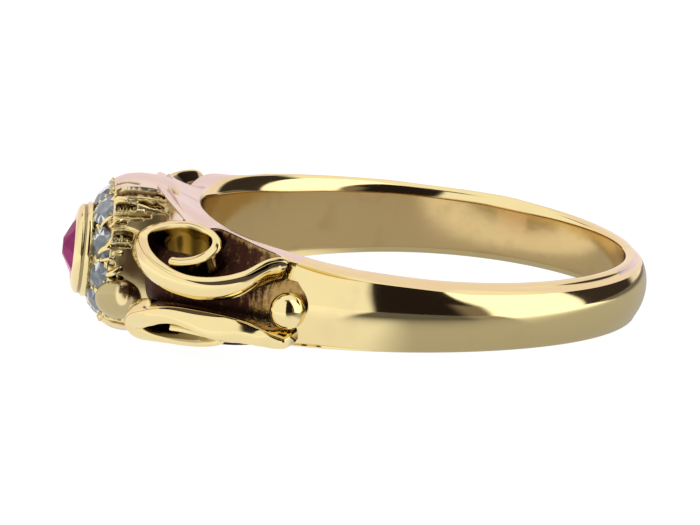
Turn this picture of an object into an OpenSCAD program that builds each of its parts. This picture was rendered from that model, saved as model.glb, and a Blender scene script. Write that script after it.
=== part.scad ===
// Ruby and diamond cluster ring in yellow gold, lying on its side.
// The ring is drawn about its finger hole: the finger axis is Z, the head points to -X,
// and an angle is measured round the finger axis from the head, towards -Y.
// Then the whole ring is leaned until it rests on the underside of its head and the back of the band.

/* [Band] */
// Diameter of the finger hole
finger_d = 17; // [15:0.25:20]
// Thickness of the band at the back
back_t = 0.95; // [0.8:0.05:1.6]
// Extra thickness gained from the back to the shoulders
shoulder_gain = 1.15; // [0.8:0.05:1.4]
// Width of the band at the back
back_w = 2.3; // [2:0.1:2.6]
// Width of the ring's inner edge under the head
head_w = 4.1; // [3.6:0.1:4.4]
// How thick the straight side edge of the band is, as a part of the whole thickness
edge_part = 0.5; // [0.3:0.05:0.7]

/* [Head] */
// Height of the stones' seats above the middle of the finger hole
seat_h = 12.5; // [12.2:0.1:12.8]
// Half of the cluster's length along the finger
cluster_u = 2.42; // [2.3:0.02:2.6]
// Half of the cluster's width round the band
cluster_v = 2.06; // [2:0.02:2.3]
// Lean of the head towards its upper side, in degrees
head_lean = 3; // [0:0.5:4]
// Depth of the grooves between the claws
flute_d = 0.17; // [0.05:0.01:0.2]

/* [Stones] */
// Number of diamonds round the ruby
diamond_count = 10; // [10:1:10]
// Diameter of a diamond
diamond_d = 1.34; // [1.1:0.02:1.38]
// Outward lean of a diamond's table, in degrees
diamond_lean = 46; // [35:1:55]
// Diameter of the ruby
ruby_d = 2.7; // [2.4:0.05:2.9]
// Outside diameter of the ruby's collet
collet_d = 3.74; // [3.5:0.02:3.8]
// Clear gap round each stone
stone_gap = 0.03; // [0.02:0.01:0.05]

/* [Shoulders] */
// Width of the flat land on a scroll
land_w = 0.34; // [0.25:0.01:0.45]
// Width of the lower scroll's land at its stem
low_land_w = 0.6; // [0.4:0.02:0.8]
// Depth of a scroll's wall
scroll_d = 1.0; // [0.8:0.05:1.2]
// Diameter of the small bead where the polished band begins
bead_d = 1.06; // [0.9:0.02:1.2]

/* [Hidden] */

bore_r = finger_d / 2;
skin_r = bore_r - 0.35;
mean_r = bore_r + back_t + shoulder_gain / 2;
shift_x = shoulder_gain / 2;
half_turn = 180;

// Where the polished band ends and the carved shoulder begins
band_end = 56;
bead_a = 59.3;

// Carved shoulder by angle from the head: radius of the scrolls' ridge, radius of the valley floor,
// radius at which the smooth side ends, half width of the smooth side there, middle of the valley,
// and how fast the lower scroll falls away
SHOULDER = [
    // angle, ridge, floor, side, width, middle, fall
    [0, 12.45, 10.20, 10.00, 2.96, 0, 0.30],
    [11, 12.45, 11.20, 10.00, 2.90, -0.20, 0.30],
    [17, 12.45, 11.95, 9.95, 2.70, -0.30, 0.30],
    [24, 12.50, 11.85, 9.85, 2.52, -0.30, 0.52],
    [32, 12.35, 11.10, 9.75, 2.36, -0.28, 0.95],
    [40, 12.10, 10.60, 9.70, 2.16, -0.25, 1.10],
    [47, 11.60, 10.20, 9.60, 1.92, -0.18, 1.10],
    [53, 10.95, 9.90, 9.50, 1.74, -0.04, 1.10],
    [60, 10.45, 9.80, 9.40, 1.62, 0, 1.10]
];

// Middle line of a scroll's land, from the stem's blunt end to the tongue inside the coil
UPPER_SCROLL = [
    // angle, offset from the middle plane
    [56.7, 1.62], [50.0, 1.20], [45.0, 0.88], [40.0, 0.74], [34.0, 0.78], [28.5, 0.92],
    [22.8, 1.18], [19.2, 1.62], [21.5, 2.02], [26.6, 2.30], [33.2, 2.32], [38.3, 2.08],
    [40.6, 1.72], [38.8, 1.44], [35.5, 1.26], [32.6, 1.12]
];
// The lower scroll has a broader land and is turned further under the ring
LOWER_SCROLL = [
    // angle, offset from the middle plane
    [56.8, -1.31], [50.5, -1.02], [45.0, -0.86], [39.5, -0.84], [33.5, -1.00], [28.0, -1.32],
    [23.5, -1.74], [20.8, -2.10], [22.2, -2.42], [26.5, -2.50], [31.5, -2.40], [35.8, -2.20],
    [37.6, -1.98], [36.0, -1.80], [33.0, -1.79], [30.5, -1.88]
];

// Gallery under the cluster: height above the middle of the finger hole, half length, half width,
// depth of the grooves as a part of the whole, and how square the oval is
GALLERY = [
    // height, along the finger, round the band, grooves, squareness
    [9.00, 1.70, 1.60, 0, 1.4],
    [9.80, 2.50, 2.00, 0.2, 1.4],
    [10.15, 2.94, 2.22, 0.8, 1.3],
    [11.00, 3.08, 2.34, 1, 1.15],
    [11.60, 3.12, 2.52, 1, 1.05],
    [12.05, 3.14, 2.66, 1, 1],
    [12.42, 2.98, 2.58, 0.6, 1],
    [12.90, 2.00, 1.76, 0, 1]
];

function col(table, i) = [for (row = table) [row[0], row[i]]];
function ridge_r(a) = lookup(a, col(SHOULDER, 1));
function floor_r(a) = lookup(a, col(SHOULDER, 2));
function side_r(a) = lookup(a, col(SHOULDER, 3));
function side_w(a) = lookup(a, col(SHOULDER, 4));
function valley_u(a) = lookup(a, col(SHOULDER, 5));

// A point at radius r and angle a round the finger axis, u above the middle plane
function polar(r, a, u) = [-r * cos(a), -r * sin(a), u];

// Outside of the band: a circle set off towards the head, so the back is thinnest
function crown_r(a) = shift_x * cos(a) + sqrt(pow(mean_r, 2) - pow(shift_x * sin(a), 2));
// Half width of the band's inner edge, which widens towards the head
function rim_w(a) = (back_w + (head_w - back_w) * pow((1 + cos(a)) / 2, 2.6)) / 2;

// Radius of the surface that the scrolls' lands lie in: highest near the middle, falling to the sides
function land_r(a, u) = ridge_r(a) - (u > 0
    ? 0.8 * pow(max(0, u - 0.3), 1.15)
    : lookup(a, col(SHOULDER, 6)) * pow(max(0, -u - 1.2), 1.6));

// Resting lean: from the back's lower edge to the head's underside, where a small flat is worn
back_edge_r = bore_r + back_t * edge_part;
rest_low = [11.5, 3.02];
rest_lean = atan2(rest_low[1] - back_w / 2 - 0.03, rest_low[0] + back_edge_r);
low_z = rest_low[0] * sin(rest_lean) - rest_low[1] * cos(rest_lean);

function unit(v) = v / norm(v);

// Smooth curve through the rows of a table
function knot(t, i) = t[max(0, min(len(t) - 1, i))];
function smooth_at(t, s) =
    let (i = min(floor(s), len(t) - 2), f = s - i,
         a = knot(t, i - 1), b = knot(t, i), c = knot(t, i + 1), d = knot(t, i + 2))
    0.5 * (2 * b + (c - a) * f + (2 * a - 5 * b + 4 * c - d) * f * f + (3 * b - a - 3 * c + d) * f * f * f);

// Skin through rings of points, closed by a face at each end, or into a loop; each ring turns
// clockwise seen from the last ring
module loft(rings, loop = false) {
    n = len(rings[0]);
    m = len(rings);
    polyhedron(
        points = [for (ring = rings) each ring],
        faces = [
            for (k = [0 : m - (loop ? 1 : 2)], i = [0 : n - 1])
                let (a = k * n + i, b = k * n + (i + 1) % n, c = ((k + 1) % m) * n)
                each [[a, b, c + (i + 1) % n], [a, c + (i + 1) % n, c + i]],
            if (!loop) [for (i = [n - 1 : -1 : 0]) i],
            if (!loop) [for (i = [0 : n - 1]) (m - 1) * n + i]
        ],
        convexity = 8
    );
}

// Domed section of the polished band at angle a, with straight side edges
dome_steps = 7;
function band_section(a) =
    let (w = rim_w(a) + 0.05, top = crown_r(a), edge = bore_r + (top - bore_r) * edge_part)
    [
        polar(skin_r, a, w), polar(skin_r, a, -w),
        for (i = [0 : dome_steps])
            let (q = half_turn * i / dome_steps)
            polar(edge + (top - edge) * sin(q), a, -w * cos(q))
    ];

// Section of the ring below the scrolls and the head at angle a, with the valley along its middle
function core_section(a) =
    let (b = a > half_turn ? 360 - a : a, w = rim_w(b), v = side_w(b), r = side_r(b), f = floor_r(b),
         c = valley_u(b))
    [
        polar(skin_r, a, w), polar(skin_r, a, -w), polar(bore_r + 0.35, a, -w - 0.04),
        polar(r, a, -v), polar(f - 0.3, a, c - 1), polar(f, a, c - 0.3), polar(f, a, c + 0.3),
        polar(f - 0.3, a, c + 1), polar(r, a, v), polar(bore_r + 0.35, a, w + 0.04)
    ];

// The whole ring round the finger as one loop of sections
core_steps = 13;
band_steps = 44;
module shank() loft([
    for (k = [-core_steps : core_steps])
        core_section((360 + (band_end - 0.4) * k / core_steps) % 360),
    for (k = [0 : band_steps]) band_section(band_end + 2 * (half_turn - band_end) * k / band_steps)
], true);

// Section of a scroll's wall, across and above the land: the rounded outside first, then the inside
function wall(land, out) = [
    // across, above
    [land / 2, 0], [land / 2 + out * 0.75, -scroll_d * 0.3],
    [land / 2 + out, -scroll_d * 0.7], [land / 2 + out, -scroll_d * 1.3],
    [-land / 2, -scroll_d * 1.3], [-land / 2, 0]
];

function on_land(p) = polar(land_r(p[0], p[1]), p[0], p[1]);
function land_up(p, e = 0.05) =
    unit(cross(on_land(p + [1, 0]) - on_land(p), on_land(p + [0, e]) - on_land(p)));

// A scroll's wall drawn along a table, its land narrow at the stem's end and at the tongue;
// hand is 1 for the upper scroll and -1 for the lower one
module scroll(path, hand, land, land_end, out, steps = 32) {
    last = len(path) - 1;
    e = 0.02;
    loft([
        for (k = [0 : steps])
            let (s = last * k / steps, p = smooth_at(path, s), up = land_up(p),
                 along = on_land(smooth_at(path, min(last, s + e))) - on_land(smooth_at(path, max(0, s - e))),
                 across = hand * unit(cross(up, along)),
                 w_land = lookup(k / steps, [[0, 0.26], [0.25, land], [1, land_end]]),
                 section = wall(w_land, out))
            [for (i = [0 : len(section) - 1])
                let (w = section[hand > 0 ? i : len(section) - 1 - i])
                on_land(p) + w[0] * across + w[1] * up]
    ]);
}

// Small polished bead that ends the valley, and the notch round it
module bead() translate(polar(10.6, bead_a, 0)) sphere(d = bead_d, $fn = 16);
module bead_notch() translate(polar(11.0, bead_a, 0)) sphere(d = bead_d * 1.6, $fn = 20);

// Polished boss where the valley meets the head
module boss() translate(polar(12.42, 23.4, -0.25)) scale([0.78, 0.74, 0.85]) sphere(r = 1, $fn = 16);

// Hollow inside a coil, cut from the ring's side up to depth, which is short of the valley
module coil_hollow(hand, depth) translate(polar(10.57, 30.7, hand * depth)) rotate([0, 0, 30.7])
    mirror([0, 0, hand > 0 ? 0 : 1]) scale([0.61, 0.97, 1]) cylinder(r = 1, h = 3, $fn = 20);

module shoulder() {
    scroll(UPPER_SCROLL, 1, land_w, land_w, 0.36);
    scroll(LOWER_SCROLL, -1, low_land_w, land_w * 0.8, 0.14);
    bead();
    boss();
}

// Places a shape that is drawn about its own Z axis on the head: Z points away from the finger
module on_head() translate([-11, 0, 0]) rotate([0, head_lean, 0]) translate([11, 0, 0])
    rotate([0, -90, 0]) children();

// A squared oval has its sines and cosines drawn out towards 1
function squared(c, power) = sign(c) * pow(abs(c), 1 / power);

// Oval ring of the gallery at one height: a groove falls between every two claws
claw_steps = 6;
function gallery_ring(row) = [
    for (i = [0 : diamond_count * claw_steps - 1])
        let (q = -360 * i / (diamond_count * claw_steps),
             k = abs((i % claw_steps) - claw_steps / 2),
             d = row[3] * flute_d * (k == 0 ? 1 : k == 1 ? 0.3 : 0))
        [(row[1] - d) * squared(cos(q), row[4]), (row[2] - d) * squared(sin(q), row[4]), row[0]]
];

module gallery() loft([for (row = GALLERY) gallery_ring(row)]);

// Places one diamond: its girdle plane is XY and its table faces +Z
module at_diamond(i) {
    q = 360 * (i - 1) / diamond_count;
    normal = atan2(sin(q) / cluster_v, cos(q) / cluster_u);
    translate([cluster_u * cos(q), cluster_v * sin(q), seat_h])
        rotate([0, 0, normal]) rotate([0, diamond_lean, 0]) children();
}

// Old-cut diamond: table, eight kites, girdle and eight pavilion facets
crown_part = 0.17;
pavilion_part = 0.42;
function octagon(r, z, turn) = [for (i = [0 : 7]) [r * cos(turn - 45 * i), r * sin(turn - 45 * i), z]];
module cut_stone(d, table_part, crown, pavilion, culet) loft([
    octagon(culet * d / 2, -pavilion * d, 0),
    octagon(d / 2, -0.02 * d, 22.5),
    octagon(d / 2, 0.02 * d, 22.5),
    octagon(table_part * d / 2, crown * d, 0)
]);
module diamond_cut() cut_stone(diamond_d, 0.5, crown_part, pavilion_part, 0.12);

// Room for one diamond, with the clear gap all round and the way out above it
module diamond_room() {
    r = diamond_d / 2 + stone_gap;
    rotate_extrude($fn = 16) polygon([
        [0, -pavilion_part * diamond_d - 2 * stone_gap], [0.12 * r, -pavilion_part * diamond_d - 2 * stone_gap],
        [r, -0.02 * diamond_d - stone_gap], [r, 0.97], [0, 0.97]
    ]);
}

// Round-ended window in the gallery under each diamond
window_w = 0.44;
window_low = 11.0;
window_high = 11.85;
module gallery_window(i) {
    q = 360 * (i - 1) / diamond_count;
    rotate([0, 0, q]) translate([1.75, 0, 0]) {
        translate([0, 0, window_low]) rotate([0, 90, 0]) cylinder(d = window_w, h = 2, $fn = 8);
        translate([0, -window_w / 2, window_low]) cube([2, window_w, window_high - window_low]);
    }
}

// Round collet of the ruby, with its rolled lip and the seam where it is let into the head
lip_h = 13.55;
COLLET = [
    // radius as a part of the collet's, height
    [0, 12.2], [0.93, 12.2], [0.93, 12.72], [0.985, 12.78], [1, 12.95], [0.985, 13.2],
    [0.93, 13.42], [0.8, lip_h], [0.66, lip_h - 0.03], [0, lip_h - 0.03]
];
module collet() rotate_extrude($fn = 32)
    polygon([for (p = COLLET) [p[0] * collet_d / 2, p[1]]]);

// Ruby: eight-sided crown with a small table
ruby_h = 13.3;
ruby_crown = 0.27;
ruby_pavilion = 0.34;
module at_ruby() translate([0, 0, ruby_h]) children();
module ruby_cut() cut_stone(ruby_d, 0.34, ruby_crown, ruby_pavilion, 0.1);
module ruby_room() {
    r = ruby_d / 2 + stone_gap;
    half = 0.02 * ruby_d;
    low = ruby_pavilion * ruby_d + 2 * stone_gap;
    rotate_extrude($fn = 24) polygon([
        [0, -low], [0.1 * r, -low], [r, -half - stone_gap], [r, half + stone_gap],
        [0.86 * r, half + 0.3 * r], [0.86 * r, 1.1], [0, 1.1]
    ]);
}

module head() on_head() difference() {
    union() {
        gallery();
        collet();
    }
    for (i = [1 : diamond_count]) {
        at_diamond(i) diamond_room();
        gallery_window(i);
    }
    at_ruby() ruby_room();
}

// Everything under the plane that the ring lies on
module floor_side() rotate([0, -rest_lean, 0]) translate([-50, -50, low_z - 100]) cube(100);

// Lays the ring on its side: leaned, and moved so that its box stands on the origin
box_x = 2.298;
module at_rest() translate([box_x, 0, -low_z]) rotate([0, rest_lean, 0]) children();

module gold_mount() color("goldenrod") at_rest() difference() {
    resize([0, 0, 0]) difference() {
        union() {
            difference() {
                shank();
                for (side = [0, 1]) mirror([0, side, 0]) {
                    bead_notch();
                    coil_hollow(1, 0.97);
                    coil_hollow(-1, 1.43);
                }
            }
            for (side = [0, 1]) mirror([0, side, 0]) shoulder();
            head();
        }
        floor_side();
    }
    cylinder(r = bore_r, h = 12, center = true, $fn = 96);
}

module ruby() color("crimson") at_rest() on_head() at_ruby() ruby_cut();
module diamond(i) color("lightsteelblue") at_rest() on_head() at_diamond(i) diamond_cut();

gold_mount();
ruby();
for (i = [1 : diamond_count]) diamond(i);
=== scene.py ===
"""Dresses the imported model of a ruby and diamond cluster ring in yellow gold, lying on its side."""
import math
import random

import bmesh
import bpy
import numpy as np
from bpy.props import FloatProperty, FloatVectorProperty, PointerProperty
from mathutils import Matrix, Vector


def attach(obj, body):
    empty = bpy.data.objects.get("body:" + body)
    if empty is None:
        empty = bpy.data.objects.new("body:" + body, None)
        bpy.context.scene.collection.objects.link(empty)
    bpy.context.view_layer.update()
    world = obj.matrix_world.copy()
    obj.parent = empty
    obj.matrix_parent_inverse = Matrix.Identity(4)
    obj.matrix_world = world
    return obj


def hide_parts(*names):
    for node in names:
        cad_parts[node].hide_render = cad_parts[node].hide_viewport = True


bl_info = {
    "name": "Ruby and Diamond Ring",
    "version": (1, 0, 0),
    "blender": (4, 5, 0),
    "location": "3D View > Sidebar > Ring",
    "description": "Polished, carved and set pieces for a cluster ring around its packed model",
    "category": "Add Mesh",
}

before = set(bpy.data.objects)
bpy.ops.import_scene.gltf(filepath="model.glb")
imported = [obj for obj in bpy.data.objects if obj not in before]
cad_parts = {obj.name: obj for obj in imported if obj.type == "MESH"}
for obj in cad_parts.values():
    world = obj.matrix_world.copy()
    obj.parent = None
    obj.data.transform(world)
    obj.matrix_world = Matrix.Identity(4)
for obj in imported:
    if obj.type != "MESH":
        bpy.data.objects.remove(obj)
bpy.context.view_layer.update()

# The ring's own frame: sizes are in millimetres about the finger hole, the head is at angle 0, angles
# turn towards the camera's side, and u runs along the finger.
MM = 0.001
LEAN = math.radians(5.13513)
CENTRE = Vector((2.298, 0, 1.97857))
HEAD_LEAN = math.radians(3)
HEAD_PIVOT = 11.0
BORE_R = 8.5
SIDE_PROUD = 0.08
BAND_START = 57.2
BEAD_A = 57.8
DIAMONDS = 10

REST = Matrix.Scale(MM, 4) @ Matrix.Translation(CENTRE) @ Matrix.Rotation(LEAN, 4, "Y")
ON_HEAD = (Matrix.Translation((-HEAD_PIVOT, 0, 0)) @ Matrix.Rotation(HEAD_LEAN, 4, "Y")
           @ Matrix.Translation((HEAD_PIVOT, 0, 0)) @ Matrix.Rotation(math.radians(-90), 4, "Y"))
FAR_SIDE = Matrix.Scale(-1, 4, (0, 1, 0))

# Columns after the angle: ridge's radius, valley's floor, radius and half width where the smooth side
# ends, height of the valley's middle, fall of the lower land
RIDGE, VALLEY, SIDE_R, SIDE_HALF, MIDDLE, FALL = range(1, 7)
SHOULDER = (
    (0, 12.45, 10.20, 10.00, 2.96, 0, 0.30),
    (11, 12.45, 10.55, 10.00, 2.90, -0.20, 0.30),
    (17, 12.45, 11.20, 9.95, 2.70, -0.30, 0.30),
    (24, 12.50, 11.60, 9.85, 2.52, -0.30, 0.52),
    (32, 12.35, 11.10, 9.75, 2.36, -0.28, 0.95),
    (40, 12.10, 10.60, 9.70, 2.16, -0.25, 1.10),
    (47, 11.60, 10.20, 9.60, 1.92, -0.18, 1.10),
    (53, 10.95, 9.90, 9.50, 1.74, -0.04, 1.10),
    (60, 10.45, 9.80, 9.40, 1.62, 0, 1.10),
    (66, 10.35, 9.70, 9.35, 1.56, 0, 1.10),
)
# Angle and height of the middle of each scroll's land, from the stem to the tongue in the coil
UPPER_SCROLL = (
    (56, 1.66), (55.2, 1.675), (54.1, 1.67), (52.7, 1.58), (51.2, 1.38), (49.3, 1.11), (47.2, 0.93),
    (45, 0.80), (42.8, 0.72), (40.3, 0.69), (37.4, 0.70), (34, 0.76), (29.7, 0.90), (26, 1.06), (21.9, 1.25),
    (19.2, 1.40), (18.1, 1.56), (18.9, 1.80), (22.2, 2.07), (26.3, 2.26), (29.9, 2.34), (33.6, 2.32),
    (36.6, 2.23), (38.7, 2.06), (39.7, 1.85), (39.6, 1.64), (38.8, 1.46), (37.2, 1.30), (35.2, 1.19),
    (33.1, 1.13), (31.6, 1.13),
)
LOWER_SCROLL = (
    (58.4, -1.33), (55.8, -1.32), (52.8, -1.2), (49.7, -1.06), (47, -1.00), (44.3, -0.96), (40.8, -0.86),
    (36.9, -0.85), (33.1, -1.02), (29.7, -1.28), (26.3, -1.56), (24.2, -1.82), (23.9, -2.04), (25.6, -2.17),
    (28.6, -2.22), (33.4, -2.16), (38.4, -2.02), (42.6, -1.84), (45.2, -1.68), (46.0, -1.54), (44.6, -1.43),
    (41.5, -1.36), (38.4, -1.36), (35.6, -1.42),
)
# Columns after the height: half length along the finger, half width round the band, squareness
HALF_LONG, HALF_WIDE, SQUARE = range(1, 4)
GALLERY = (
    (9.00, 2.00, 1.60, 1.4), (9.60, 2.76, 1.90, 1.4), (9.85, 3.00, 2.02, 1.4), (10.15, 3.10, 2.22, 1.3),
    (11.00, 3.18, 2.34, 1.15), (11.60, 3.11, 2.50, 1.05), (12.05, 2.91, 2.58, 1), (12.42, 2.58, 2.44, 1),
    (12.90, 1.95, 1.74, 1),
)
# By angle: how much wider the upper side is at its inner end and at its outer end, on the far half and
# on the near half
INNER_END, OUTER_END = 1, 2
FAR_SIDE_EXTRA = (
    (20, 0.05, 0.02), (40, 0.30, 0.19), (60, 0.34, 0.24), (88, 0.35, 0.25), (100, 0.30, 0.20),
    (120, 0.28, 0.16), (132, 0.18, 0.05), (142, 0.10, -0.07), (152, 0.03, -0.16), (165, -0.04, -0.24),
    (180, -0.06, -0.28),
)
NEAR_SIDE_EXTRA = (
    (48, 0, 0), (60, -0.05, -0.07), (76, -0.12, -0.19), (88, -0.14, -0.24), (104, -0.12, -0.24),
    (130, -0.08, -0.26), (150, -0.06, -0.27), (180, -0.06, -0.28),
)
# By angle: the upper crease's share of the half width, and how much wider the far half's bore is
CREASE = ((50, 0.96), (56, 0.96), (64, 0.91), (73, 0.82), (83, 0.80), (91, 0.76), (98, 0.71), (180, 0.70))
FAR_BORE_EXTRA = (
    (45, -0.20), (56, -0.20), (72, -0.10), (86, -0.03), (95, 0.01), (114, 0.0), (130, -0.08), (180, -0.06),
)
DOME_POWER = 2.1


def curve_at(table, x, column):
    """A column of a table read smoothly at x, without overshoot"""
    keys = [row[0] for row in table]
    x = min(max(x, keys[0]), keys[-1])
    i = max(k for k in range(len(keys) - 1) if keys[k] <= x)

    def slope(k):
        if k <= 0 or k >= len(keys) - 1:
            return 0.0
        left = (table[k][column] - table[k - 1][column]) / (keys[k] - keys[k - 1])
        right = (table[k + 1][column] - table[k][column]) / (keys[k + 1] - keys[k])
        return 0.0 if left * right <= 0 else 2 * left * right / (left + right)

    step = keys[i + 1] - keys[i]
    t = (x - keys[i]) / step
    a, b = table[i][column], table[i + 1][column]
    return (a * (1 + 2 * t) * (1 - t) ** 2 + b * t * t * (3 - 2 * t)
            + step * slope(i) * t * (1 - t) ** 2 - step * slope(i + 1) * t * t * (1 - t))


def spline_at(table, s):
    """A point on the smooth curve through the rows of a table"""
    last = len(table) - 1
    i = min(int(s), last - 1)
    f = s - i
    a, b, c, d = (Vector(table[max(0, min(last, i + k))]) for k in (-1, 0, 1, 2))
    return 0.5 * (2 * b + (c - a) * f + (2 * a - 5 * b + 4 * c - d) * f * f
                  + (3 * b - a - 3 * c + d) * f * f * f)


def ease(x):
    x = min(max(x, 0.0), 1.0)
    return x * x * (3 - 2 * x)


def polar(r, a, u):
    a = math.radians(a)
    return Vector((-r * math.cos(a), -r * math.sin(a), u))


def angle_of(p):
    """Angle of a point from the head, in degrees"""
    return math.degrees(math.atan2(-p.y, -p.x))


def folded(a):
    """Angle from the head, the same on both sides of the ring"""
    a = abs(a) % 360
    return 360 - a if a > 180 else a


def crown_r(a):
    """Top of the band's dome: a circle set off towards the head, a little flat at its sides"""
    shift, mean, flat = 0.575, 10.025, 0.035
    a = math.radians(a)
    return shift * math.cos(a) + math.sqrt(mean ** 2 - (shift * math.sin(a)) ** 2) - flat * math.sin(a) ** 2


def rim_w(a):
    """Half width of the inner edge, which widens towards the head"""
    back, more, power = 2.3, 1.8, 2.6
    return (back + more * ((1 + math.cos(math.radians(a))) / 2) ** power) / 2


def bore_edge(a, up):
    """Half width of the flat inside, up to its rounded edge"""
    b = folded(a)
    plain = rim_w(b) - 0.05 - 0.15 * ease((b - 5) / 30) * ease((82 - b) / 30)
    if a % 360 < 180:
        return plain - 0.06 * ease((b - 50) / 20)
    if up > 0:
        return plain + (rim_w(b) + curve_at(FAR_BORE_EXTRA, b, 1) - plain) * ease((b - 35) / 15)
    return plain - 0.15 * ease((b - 45) / 20)


def side_w(a, up, end):
    """Half width of the band at the inner or outer end of its side"""
    b = folded(a)
    plain = rim_w(b) + SIDE_PROUD
    if up < 0:
        return plain
    return plain + curve_at(FAR_SIDE_EXTRA if a % 360 > 180 else NEAR_SIDE_EXTRA, b, end)


def dome_edge(a, up):
    """Radius and half width of the crease where the band's dome begins, above or below"""
    b = folded(a)
    thick = crown_r(b) - BORE_R
    wide = rim_w(b) + SIDE_PROUD
    if up < 0:
        return BORE_R + 0.70 * thick, wide * (0.93 - 0.09 * ease((b - 105) / 45))
    return BORE_R + 0.76 * thick, wide * curve_at(CREASE, b, 1)


def rim_dip(b, up):
    """How far the side's upper edge dips behind the coil"""
    depth, at, spread = 0.6, 24.5, 6.5
    return depth * math.exp(-((b - at) / spread) ** 2) if up > 0 else 0.0


def land_r(a, u):
    """Radius of the scrolls' lands, which fall away from the ridge above and below"""
    ridge = curve_at(SHOULDER, a, RIDGE)
    if u > 0:
        return ridge - (0.8 - 0.35 * ease((a - 44) / 8)) * max(0.0, u - 0.3) ** 1.15
    return ridge - curve_at(SHOULDER, a, FALL) * max(0.0, -u - 1.2) ** 1.6


def grid(bm, across, along, place):
    """A grid of faces laid by place(s, t), s across and t along, both from 0 to 1"""
    before = set(bm.verts)
    bmesh.ops.create_grid(bm, x_segments=across, y_segments=along, size=1)
    new = [v for v in bm.verts if v not in before]
    for v in new:
        v.co = place((v.co.x + 1) / 2, (v.co.y + 1) / 2)
    return new


def weld(bm, verts):
    bmesh.ops.remove_doubles(bm, verts=verts, dist=1e-5)


def tube(bm, around, along, place, caps=True):
    """A skin: s goes round the section and t along it, and what stays open is filled"""
    weld(bm, grid(bm, around, along, place))
    edges = [e for e in bm.edges if e.is_boundary]
    if caps and edges:
        bmesh.ops.holes_fill(bm, edges=edges, sides=0)


def key(p):
    """A point's place, rounded so that a welded point finds what was noted for it"""
    return tuple(round(c, 4) for c in p)


def write_marks(bm, facts, plain, *layers):
    """Writes the values noted for each point's place, or the plain ones, to the layers"""
    for v in bm.verts:
        for layer, value in zip(layers, facts.get(key(v.co), plain)):
            v[layer] = value


def mirrored(bm):
    """Adds the same shape on the far side of the ring"""
    twin = bmesh.ops.duplicate(bm, geom=bm.verts[:] + bm.edges[:] + bm.faces[:])["geom"]
    bmesh.ops.transform(bm, matrix=FAR_SIDE, verts=[g for g in twin if isinstance(g, bmesh.types.BMVert)])
    bmesh.ops.reverse_faces(bm, faces=[g for g in twin if isinstance(g, bmesh.types.BMFace)])


def linked(name, data):
    """A new object in the scene"""
    obj = bpy.data.objects.new(name, data)
    bpy.context.scene.collection.objects.link(obj)
    return obj


def as_object(bm, name, *materials):
    mesh = bpy.data.meshes.new(name)
    bm.to_mesh(mesh)
    bm.free()
    for material in materials:
        mesh.materials.append(material)
    return linked(name, mesh)


def finish(bm, name, *materials, replaced="gold_mount", slot="gold", smooth=True, sharp=None,
           towards=None, twin=False, thickness=0):
    """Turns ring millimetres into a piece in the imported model's frame

    The faces of an open skin look, on the whole, where towards(face) points. A twin is the same shape
    on the far side of the ring, and an open skin is given a thickness.
    """
    if not bm.faces:
        raise RuntimeError(f"{name} has no faces")
    bmesh.ops.recalc_face_normals(bm, faces=bm.faces[:])
    if towards and sum(f.normal.dot(towards(f)) for f in bm.faces) < 0:
        bmesh.ops.reverse_faces(bm, faces=bm.faces[:])
    if twin:
        mirrored(bm)
    bmesh.ops.transform(bm, matrix=REST, verts=bm.verts[:])
    for v in bm.verts:
        v.co.z = max(v.co.z, 0.0)
    for f in bm.faces:
        f.smooth = smooth
    if sharp is not None:
        for e in bm.edges:
            if len(e.link_faces) == 2 and e.calc_face_angle(0) > math.radians(sharp):
                e.smooth = False
    obj = as_object(bm, name, *(MATERIALS[m] for m in materials))
    if thickness:
        obj.modifiers.new("Thickness", "SOLIDIFY").thickness = thickness * MM
    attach(obj, "root")
    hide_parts(replaced)


# Materials
MATERIALS = {}


def feed(tree, value, target):
    """Links another node's output to a socket, or sets the socket's plain value"""
    if isinstance(value, bpy.types.NodeSocket):
        tree.links.new(value, target)
    else:
        target.default_value = value


def node(tree, kind, inputs=(), **settings):
    """A shader node with its settings, and what goes into its sockets by name or number"""
    made = tree.nodes.new(kind)
    for name, value in settings.items():
        setattr(made, name, value)
    for socket, value in dict(inputs).items():
        feed(tree, value, made.inputs[socket])
    return made


def math_node(tree, operation, *values, clamp=False):
    return node(tree, "ShaderNodeMath", enumerate(values), operation=operation, use_clamp=clamp).outputs[0]


def times(tree, a, b):
    return math_node(tree, "MULTIPLY", a, b)


def plus(tree, a, b, clamp=False):
    return math_node(tree, "ADD", a, b, clamp=clamp)


def ramp(tree, value, low, high, to_low=0.0, to_high=1.0):
    """Smooth step of a value between two limits"""
    inputs = {"Value": value, "From Min": low, "From Max": high, "To Min": to_low, "To Max": to_high}
    return node(tree, "ShaderNodeMapRange", inputs, interpolation_type="SMOOTHSTEP").outputs["Result"]


def mix_colour(tree, factor, a, b):
    mix = node(tree, "ShaderNodeMix", {"Factor": factor}, data_type="RGBA")
    for colour, end in zip((a, b), [s for s in mix.inputs if s.type == "RGBA"]):
        feed(tree, (*colour, 1) if isinstance(colour, (tuple, list)) else colour, end)
    return next(s for s in mix.outputs if s.type == "RGBA")


def place_on(tree, kind="Object"):
    return node(tree, "ShaderNodeTexCoord").outputs[kind]


def noise(tree, place, scale, detail, rough=0.5):
    inputs = {"Vector": place, "Scale": scale, "Detail": detail, "Roughness": rough}
    return node(tree, "ShaderNodeTexNoise", inputs).outputs["Fac"]


def attribute(tree, name):
    return node(tree, "ShaderNodeAttribute", attribute_name=name).outputs["Fac"]


def grouped(tree, group, inputs):
    return node(tree, "ShaderNodeGroup", inputs, node_tree=group).outputs


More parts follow.
